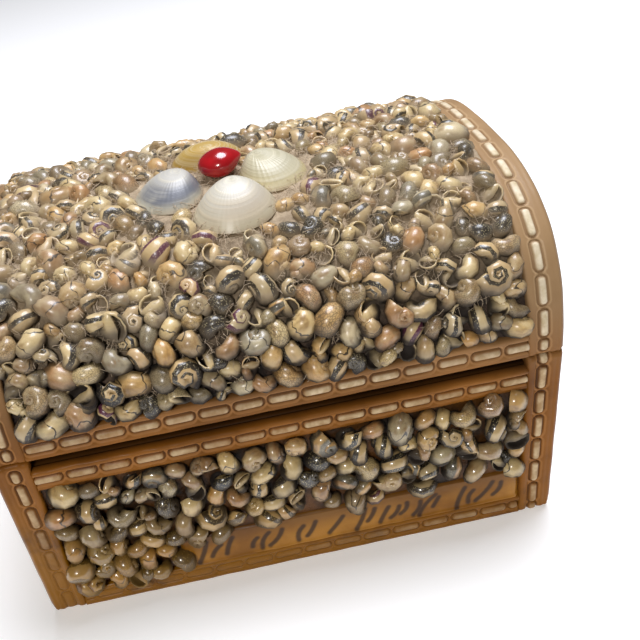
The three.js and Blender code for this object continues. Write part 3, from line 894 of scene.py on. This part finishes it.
def bedMaterial(name, low, high, rough, scale):  # two tones low down, two on the crown
    paint = Paint(name)
    cloud = paint.noise(scale, 5.0, 0.65)
    fine = paint.noise(scale * 7, 4.0, 0.7)
    share = paint.ease(cloud, 0.35, 0.65)
    crown = paint.ease(paint.axis("Z") + 0.01 * cloud, 0.06, 0.08)
    colour = paint.mix(crown, paint.mix(share, *low), paint.mix(share, *high))
    return paint.finish(Base_Color=colour, Roughness=rough, Normal=paint.bump(fine + cloud, 0.0004, 0.8))


dusty = shellMaterial("dustySnailShell", dustyLook)
clean = shellMaterial("varnishedSnailShell", varnishedLook)
# dust bed: low tones are lint darkened into painted shade between the shells, crown tones pale dust
dustBedAndShade = bedMaterial("dustBedAndShade", ("1a120e", "4c3a2f"), ("8a7860", "b09c80"), 0.9, 260.0)
lacquerBed = bedMaterial("lacquerBed", ("1e1002", "5c3606"), ("1e1002", "5c3606"), 0.6, 120.0)

plainValve = {"skew": 0.0, "tip": 0.0, "lift": 0.0, "bloom": 0.4, "bloomTurn": 1.57, "ribs": 0.4}
valves = [  # places, sizes, turns and colours of the flower's clam valves
    dict(plainValve, name="front_clam", slot="cream_clam", material="creamClam",
         colours=("bcb6a6", "b8aa84", "b09c86"), centre=(-0.9, -16.0), width=17.2, reach=14.6, height=5.4,
         turn=0.08, skew=0.04),
    dict(plainValve, name="left_clam", slot="grey_clam", material="greyClam",
         colours=("b4b0a6", "aea88c", "686a70"), centre=(-13.4, -6.0), width=15.6, reach=14.4, height=4.6,
         turn=-1.1, skew=-0.05, lift=-0.1, bloom=1.0, bloomTurn=1.07, ribs=0.5),
    dict(plainValve, name="right_clam", slot="yellow_clam", material="yellowClam",
         colours=("b4ac8e", "b8a468", "b8b4a2"), centre=(8.8, -4.8), width=16.2, reach=14.6, height=4.9,
         turn=1.3, skew=0.05, lift=-0.1, ribs=1.2),
    dict(plainValve, name="back_clam", slot="yellow_clam", material="goldenClam",
         colours=("b09048", "a08038", "baa878"), centre=(-3.8, 8.2), width=16.6, reach=12.6, height=4.6,
         turn=math.pi, tip=-0.1, lift=0.2),
]
seed = {"centre": (-1.6, -1.6), "size": (9.6, 8.0, 5.8), "clear": 5.0}
lidRailArc = box["rail"] + 0.55


def outsideFlower(u, v, radius):
    place = onVault(u, lidRailArc + v, 0)
    if math.hypot(place.x - seed["centre"][0], place.y - seed["centre"][1]) < seed["clear"]:
        return False
    for valve in valves:
        away = Vector((place.x - valve["centre"][0], place.y - valve["centre"][1]))
        away = Matrix.Rotation(-valve["turn"], 2) @ away
        halfWidth, halfReach = valve["width"] / 2 + radius * 0.5, valve["reach"] / 2 + radius * 0.5
        if math.hypot(away.x / halfWidth, away.y / halfReach) < 1:
            return False
    return True


crustWidth = 2 * (panelEnd - 0.4)
lidHeight = vaultArc - 2 * lidRailArc
panelHeight = panelTop - panelBottom - 0.8


def lidBedHeight(u, v):  # lint and glue, heaped up round the flower
    place = onVault(u, lidRailArc + v, 0)
    away = math.hypot(place.x - seed["centre"][0], (place.y - seed["centre"][1]) * 1.1)
    heap = (crusts["flowerBed"] - crusts["bed"]) * (1 - ease(away, 19.0, 27.0))
    crown = crusts["crownBed"] * ease(place.z, 66.0, 78.0)
    return crusts["bed"] + max(heap, crown) + 0.5 * wobble(u, v, 3, 4.0) + 0.25 * wobble(u, v, 8, 1.6)


def lidShellSize(u, v):  # smaller shells on the crown
    return 1.0 - 0.08 * ease(onVault(u, lidRailArc + v, 0).z, 58.0, 76.0)


def lidPlace(u, v, h):
    return onVault(u, lidRailArc + v, h - box["recess"])


def panelPlace(face):
    def place(u, v, h):
        return Vector((-face * u, face * (panelFace + h), panelBottom + 0.4 + v))
    return place


def aboveStrip(u, v, radius):  # the front's lower right is left bare
    return not (v < 8.5 + radius * 0.3 and u > -24 + (v - 4) * 0.8)


bedWidth = crustWidth + 0.8
placeSeed, shellSeed = lidShells["seeds"]
spots = scatter(crustWidth, lidHeight, placeSeed, lidShells, outsideFlower, lidShellSize)
makeCrust("lid_crust", "lid_snail_shells", lidShells, spots, lidPlace, shellSeed, dusty)
makeBed("lid_crust_bed", bedWidth, lidHeight + 0.8, lidPlace, lidBedHeight, dustBedAndShade)
for side, face, isFree in (("front", -1, aboveStrip), ("back", 1, lambda u, v, radius: True)):
    placeSeed, shellSeed, bedSeed = panelShells[side + "Seeds"]
    spots = scatter(crustWidth, panelHeight, placeSeed, panelShells, isFree)
    makeCrust(side + "_crust", side + "_snail_shells", panelShells, spots, panelPlace(face), shellSeed, clean)
    makeBed(side + "_crust_bed", bedWidth, panelHeight + 0.8, panelPlace(face),
            lambda u, v: crusts["bed"] + 0.3 * wobble(u, v, bedSeed, 5.0), lacquerBed)

lint = {  # fine fluff caught between the shells of the lid
    "tufts": 640,
    "hairs": 14,
    "spread": 1.1,
    "reach": 2.8,
    "thickness": 0.045,
    "seed": 77,
}


def makeLint():
    rng = random.Random(lint["seed"])
    curves = bpy.data.curves.new("lint", "CURVE")
    curves.dimensions = "3D"
    curves.bevel_depth, curves.bevel_resolution = lint["thickness"] * mm, 0
    tufts = 0
    while tufts < lint["tufts"]:
        u, v = rng.uniform(-0.47, 0.47) * crustWidth, rng.uniform(0.03, 0.97) * lidHeight
        if rng.random() > 0.45 + ease(onVault(u, lidRailArc + v, 0).z, 60, 78):
            continue
        tufts += 1
        for _ in range(lint["hairs"]):
            place = Vector((u, v, crusts["bed"] + rng.uniform(0.5, 2.4)))
            place += Vector([rng.gauss(0, lint["spread"] * k) for k in (1, 1, 0)])
            way = Vector([rng.gauss(0, 1) for _ in range(3)]).normalized()
            spline = curves.splines.new("POLY")
            spline.points.add(2)
            for point in spline.points:
                across = min(max(place.x, -crustWidth / 2), crustWidth / 2)
                spot = lidPlace(across, place.y, min(max(place.z, 0.3), 3.2))
                point.co = (*(spot * mm), 1)
                way = (way + Vector([rng.gauss(0, 0.45) for _ in range(3)])).normalized()
                place = place + way * lint["reach"] / 2
    holder = bpy.data.objects.new("lintCurves", curves)
    mesh = bpy.data.meshes.new_from_object(holder)
    bpy.data.objects.remove(holder)
    piece = putInScene("lid_lint", mesh, Paint("paleLint").finish(Base_Color="b8a48a", Roughness=0.95))
    print("lint", len(mesh.polygons), "faces")


makeLint()

strip = {  # a bare strip of lacquer with dark brush marks that say nothing
    "left": -27.0,
    "right": 50.4,
    "top": 14.0,
    "markHeight": 6.0,
    "brush": 0.5,
    "gaps": (2.0, 2.4, 3.0, 5.6),
    "grain": 0.27,
    "seed": 17,
    "lacquer": ("7c4e0c", "b27c2c"),
    "streaks": "96600e",
    "shade": "52300a",
    "ink": "22120a",
}


def brushMarks():
    rng = random.Random(strip["seed"])
    pieces = []
    across = strip["left"] + 5.0
    while across < strip["right"] - 4.0:
        middle = Vector((across, 9.0 + rng.uniform(-0.5, 0.5)))
        lean = math.radians(rng.uniform(52, 72))
        half = strip["markHeight"] * rng.uniform(0.2, 0.55)
        way = Vector((math.cos(lean), math.sin(lean)))
        bow = Vector((-way.y, way.x)) * rng.uniform(-0.6, 0.6)
        points = [middle + way * half * k + bow * (1 - k * k) for k in (-1, -0.5, 0, 0.5, 1)]
        pieces += list(zip(points, points[1:]))
        across += rng.choice(strip["gaps"])
    return pieces


def inkAt(place, pieces):
    nearest = 9.0
    for a, b in pieces:
        if abs(a.x - place.x) > 3:
            continue
        along = b - a
        share = min(max((place - a).dot(along) / along.length_squared, 0.0), 1.0)
        nearest = min(nearest, (place - a - along * share).length)
    return 1 - ease(nearest, strip["brush"] * 0.6, strip["brush"] * 1.7)


def makeStrip():
    bm = bmesh.new()
    ink = newLayers(bm, "ink")[0]
    marks = brushMarks()
    width, height = strip["right"] - strip["left"], strip["top"] - panelBottom
    front = panelFace + crusts["bed"] + 0.5
    for vert in gridVerts(bm, round(width / strip["grain"]), round(height / strip["grain"])):
        flat = Vector((strip["left"] + (vert.co.x + 0.5) * width, panelBottom + (vert.co.y + 0.5) * height))
        border = 0.5 - max(abs(vert.co.x), abs(vert.co.y))
        lift = 0.35 + 0.22 * wobble(flat.x, flat.y, 1, 6.0)
        lift += 0.5 * (1 - ease(flat.y, panelBottom, panelBottom + 1.2))
        vert[ink] = inkAt(flat, marks)
        sunk = 1.2 * (1 - ease(border, 0.0, 0.02))
        vert.co = Vector((flat.x, -(front + lift - sunk), flat.y))
    paint = Paint("amberLacquer")
    cloud = paint.noise(90.0, 4.0)
    stretched = paint.node("Mapping", None, {"Vector": paint.place(), "Scale": (120, 300, 500)})
    colour = paint.mix(paint.ease(cloud, 0.35, 0.65), *strip["lacquer"])
    colour = paint.mix(paint.noise(1.0, 3.0, vector=stretched) * 0.5, colour, strip["streaks"])
    upper = paint.ease(paint.axis("Z") + 0.003 * cloud, 0.009, 0.0155)
    colour = paint.mix(upper * 0.7, colour, strip["shade"])
    colour = paint.mix(paint.attribute("ink") * 0.85, colour, strip["ink"])
    piece = makePiece("front_lacquer_strip", bm, paint.finish(
        Base_Color=colour, Roughness=0.3 + 0.1 * cloud, Normal=paint.bump(cloud, 0.0006, 0.5),
        Specular_IOR_Level=0.25, Coat_Weight=0.1, Coat_Roughness=0.08))


makeStrip()
print("lacquer strip")


def skinFrame(x, y, lift):  # stands a thing on the vault over a place in plan
    low, high = 0.0, vaultArc
    while high - low > 0.01:
        middle = (low + high) / 2
        if vaultAt(middle)[0].x < y:
            low = middle
        else:
            high = middle
    place, normal = vaultAt(low)
    place = place + normal * lift
    outward = Vector((0, normal.x, normal.y))
    return Matrix.Translation((x, place.x, place.y)) @ standing(Vector((1, 0, 0)), outward)


def growValve(valve, material):
    around, steps = 64, 30
    bm = bmesh.new()
    growth, fan = newLayers(bm, "growth", "fan")
    ring = []
    for i in range(around):
        angle = 2 * math.pi * i / around
        x, y = valve["width"] / 2 * math.cos(angle), valve["reach"] / 2 * math.sin(angle)
        x *= 1 - 0.16 * max(0.0, math.sin(angle)) ** 2
        vert = bm.verts.new((x, y, 0))
        vert[fan] = math.atan2(x, 0.62 * valve["reach"] - y)
        vert[growth] = 1.0
        ring.append(vert)
    outline = [vert.co.copy() for vert in ring]
    beak = Vector((valve["width"] * valve["skew"], valve["reach"] * 0.24, 0))
    edges = linkRing(bm, ring)
    bmesh.ops.contextual_create(bm, geom=edges)
    for i in range(1, steps + 1):
        verts, edges = growRing(bm, edges)
        size = 1 - (i / (steps + 1)) ** 1.3
        for vert, edge in zip(verts, outline):
            vert.co = beak.lerp(edge, size)
            vert.co.z = valve["height"] * (1 - size ** 2.5)
            vert[growth] = size
    bmesh.ops.contextual_create(bm, geom=edges)
    bmesh.ops.recalc_face_normals(bm, faces=bm.faces)
    stand = skinFrame(*valve["centre"], crusts["flowerBed"] - box["recess"] + valve["lift"])
    turned = Matrix.Rotation(valve["turn"], 4, "Z") @ Matrix.Rotation(valve["tip"], 4, "X")
    bmesh.ops.transform(bm, matrix=stand @ turned, verts=bm.verts)
    piece = makePiece(valve["name"] + "_valve", bm, material)
    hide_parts(valve["name"])


def clamMaterial(valve):
    paint = Paint(valve["material"])
    middle, rim, bloom = valve["colours"]
    growth, fan = paint.attribute("growth"), paint.attribute("fan")
    patches = paint.noise(120.0, 3.0)
    grains = paint.noise(1.0, 2.0, vector=paint.join(growth * 22.0, fan * 0.6, 0.3))
    ribs = paint.zigzag(fan * 13.0)
    colour = paint.mix(paint.ease(growth + 0.3 * patches, 0.7, 1.25) * 0.8, middle, rim)
    colour = paint.mix(paint.ease(grains, 0.4, 0.7) * 0.4, colour, "d9ceb0")
    side = paint.ease(paint.sine(fan + valve["bloomTurn"]), 0.45, 1.0)
    bloomed = paint.ease(growth, 0.3, 0.7) * (1 - paint.ease(growth + 0.3 * patches, 0.95, 1.2)) * side
    bloomed = bloomed * paint.ease(patches + 0.5 * grains, 0.5, 0.85) * valve["bloom"]
    colour = paint.mix(bloomed, colour, bloom)
    colour = paint.mix(paint.ease(growth + 0.2 * patches, 1.0, 1.14) * 0.8, colour, "9c8c76")
    return paint.finish(Base_Color=colour, Roughness=0.42, Coat_Weight=0.12, Coat_Roughness=0.2,
                        Normal=paint.bump(grains * 0.9 + ribs * valve["ribs"], 0.0002, 0.5))


for valve in valves:
    growValve(valve, clamMaterial(valve))


def makeSeed():
    bm = bmesh.new()
    bmesh.ops.create_uvsphere(bm, u_segments=40, v_segments=24, radius=0.5)
    for vert in bm.verts:
        x, y, z = vert.co
        taper = 1 - 0.42 * (max(0.0, x + 0.1) / 0.6) ** 2.5
        vert.co = Vector((x * seed["size"][0], y * seed["size"][1] * taper, z * seed["size"][2] * taper))
        vert.co.y += 0.25 * x * x * seed["size"][1]
    place = skinFrame(*seed["centre"], crusts["flowerBed"] - box["recess"] + seed["size"][2] / 2 + 0.5)
    turned = Matrix.Rotation(0.12, 4, "Z") @ Matrix.Rotation(-0.12, 4, "Y")
    bmesh.ops.transform(bm, matrix=place @ turned, verts=bm.verts)
    paint = Paint("redSeed")
    patches = paint.noise(200.0, 3.0)
    colour = paint.mix(paint.ease(patches, 0.3, 0.7), "8c0a10", "b0141c")
    piece = makePiece("red_seed_glossy", bm, paint.finish(
        Base_Color=colour, Roughness=0.2, Coat_Weight=0.45, Coat_Roughness=0.08,
        Normal=paint.bump(patches, 0.0002, 0.2)))
    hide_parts("red_seed")


makeSeed()
print("flower")


stage = {
    "floor": "efeeec",
    "floorGlow": 0.3,
    "sky": (1.0, 0.99, 0.97, 1),
    "skyStrength": 0.1,
    "aim": (0, 0, 0.04),
    "lights": (  # name, place, size, watts and colour
        ("window", (0.09, 0.14, 0.64), 0.4, 5.75, (0.95, 0.985, 1.1)),
        ("front", (-0.2, -0.6, 0.5), 0.14, 2.5, (1.0, 0.97, 0.93)),
    ),
}
bpy.ops.mesh.primitive_plane_add(size=6)
floor = bpy.context.object
floor.name = "floor"
floor.data.materials.append(Paint("paleFloor").finish(
    Base_Color=stage["floor"], Roughness=0.8, Emission_Color=stage["floor"],
    Emission_Strength=stage["floorGlow"]))

scene.world = bpy.data.worlds.new("studio")
scene.world.use_nodes = True
background = scene.world.node_tree.nodes["Background"].inputs
background["Color"].default_value = stage["sky"]
background["Strength"].default_value = stage["skyStrength"]


def addLight(name, place, size, power, colour):
    data = bpy.data.lights.new(name, "AREA")
    data.shape, data.size, data.energy, data.color = "DISK", size, power, colour
    light = bpy.data.objects.new(name, data)
    light.location = place
    light.rotation_euler = (Vector(stage["aim"]) - Vector(place)).to_track_quat("-Z", "Y").to_euler()
    scene.collection.objects.link(light)


for light in stage["lights"]:
    addLight(*light)

camera = {
    "place": (-8.02, -160.14, 151.84),
    "elevation": 34.78,
    "azimuth": 3.09,
    "roll": -9.72,
    "lens": 45.6,
    "shift": (0.1, -0.0125),
}
data = bpy.data.cameras.new("camera")
data.sensor_width, data.lens = 36, camera["lens"]
data.shift_x, data.shift_y = camera["shift"]
data.clip_start, data.clip_end = 0.01, 20
eye = bpy.data.objects.new("camera", data)
eye.location = Vector(camera["place"]) * mm
eye.rotation_euler = (Matrix.Rotation(math.radians(-camera["azimuth"]), 3, "Z")
                      @ Matrix.Rotation(math.radians(90 - camera["elevation"]), 3, "X")
                      @ Matrix.Rotation(math.radians(camera["roll"]), 3, "Z")).to_euler()
scene.collection.objects.link(eye)
scene.camera = eye
scene.view_settings.view_transform = "Standard"
print("stage")
